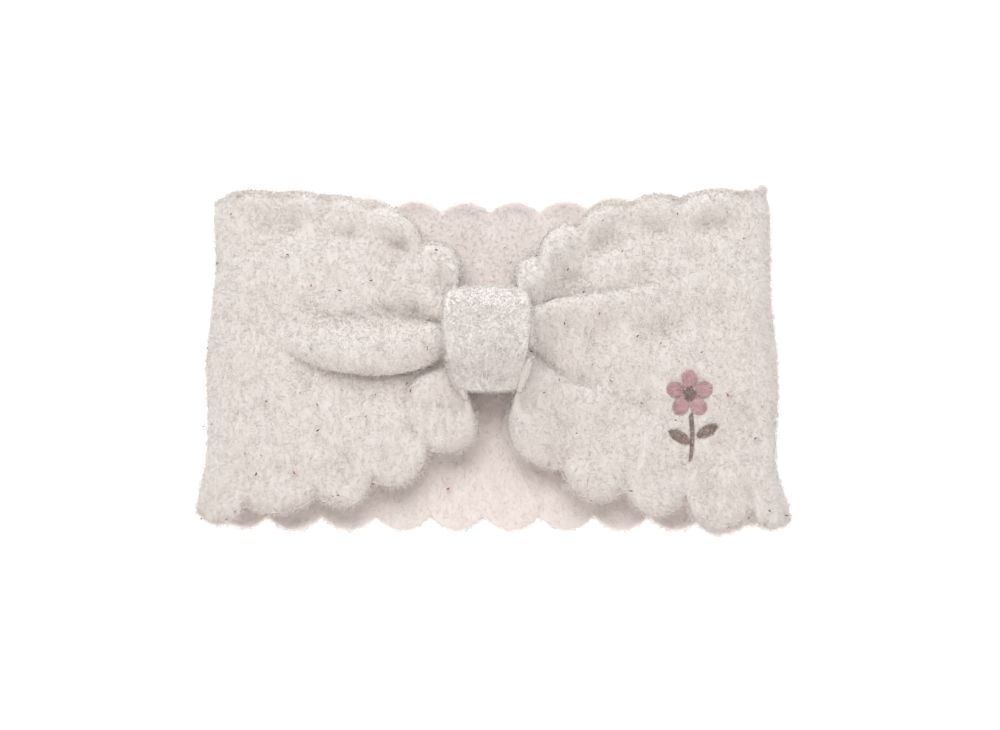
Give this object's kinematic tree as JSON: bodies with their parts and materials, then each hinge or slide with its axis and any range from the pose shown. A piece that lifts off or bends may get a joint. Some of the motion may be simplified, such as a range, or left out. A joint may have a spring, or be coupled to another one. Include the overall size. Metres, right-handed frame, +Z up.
{
  "type": "spa headband",
  "caption": "Wide soft knit loop with scalloped edges, gathered at the centre front by a knot loop, with a small embroidered flower, laid flat.",
  "frame": {"origin": "on the surface that the headband lies on, under the middle of the back panel", "axes": "+X across the flat loop towards the wing with the flower, +Y along the wearer's head axis towards the upper scalloped edge, +Z up from the surface"},
  "size_m": [0.244, 0.1416, 0.0314],
  "materials": {
    "brushed_knit": "cream-pink brushed knit with long soft pile and sparse dark and pink neps",
    "knot_knit": "the same cream-pink knit with shorter pile, so its stitches show",
    "sewing_thread": "matt polyester sewing thread",
    "rose_thread": "dusty rose satin-stitch embroidery thread",
    "taupe_thread": "taupe satin-stitch embroidery thread",
    "label_ribbon": "blank woven satin ribbon",
    "backing": "thin non-woven embroidery backing"
  },
  "bodies": {
    "back": {"back_panel": "brushed_knit", "side_turn_left": "brushed_knit", "side_turn_right": "brushed_knit", "side_seam_stitches": "sewing_thread", "care_label": "label_ribbon", "label_stitches": "sewing_thread"},
    "front": {"front_wing_left": "brushed_knit", "front_wing_right": "brushed_knit", "front_gather": "brushed_knit", "knot_loop": "knot_knit", "gather_thread": "sewing_thread", "knot_seam_stitches": "sewing_thread", "petal_1": "rose_thread", "petal_2": "rose_thread", "petal_3": "rose_thread", "petal_4": "rose_thread", "petal_5": "rose_thread", "flower_centre": "taupe_thread", "stem": "taupe_thread", "leaf_left": "taupe_thread", "leaf_right": "taupe_thread", "motif_backing": "backing"}
  },
  "joints": [
    {"name": "band_opening", "type": "slide", "parent": "back", "child": "front", "axis": [0, 0, 1], "range_m": [0, 0.03], "stiffness_N_per_m": 60, "deforming": ["side_turn_left", "side_turn_right"]}
  ]
}
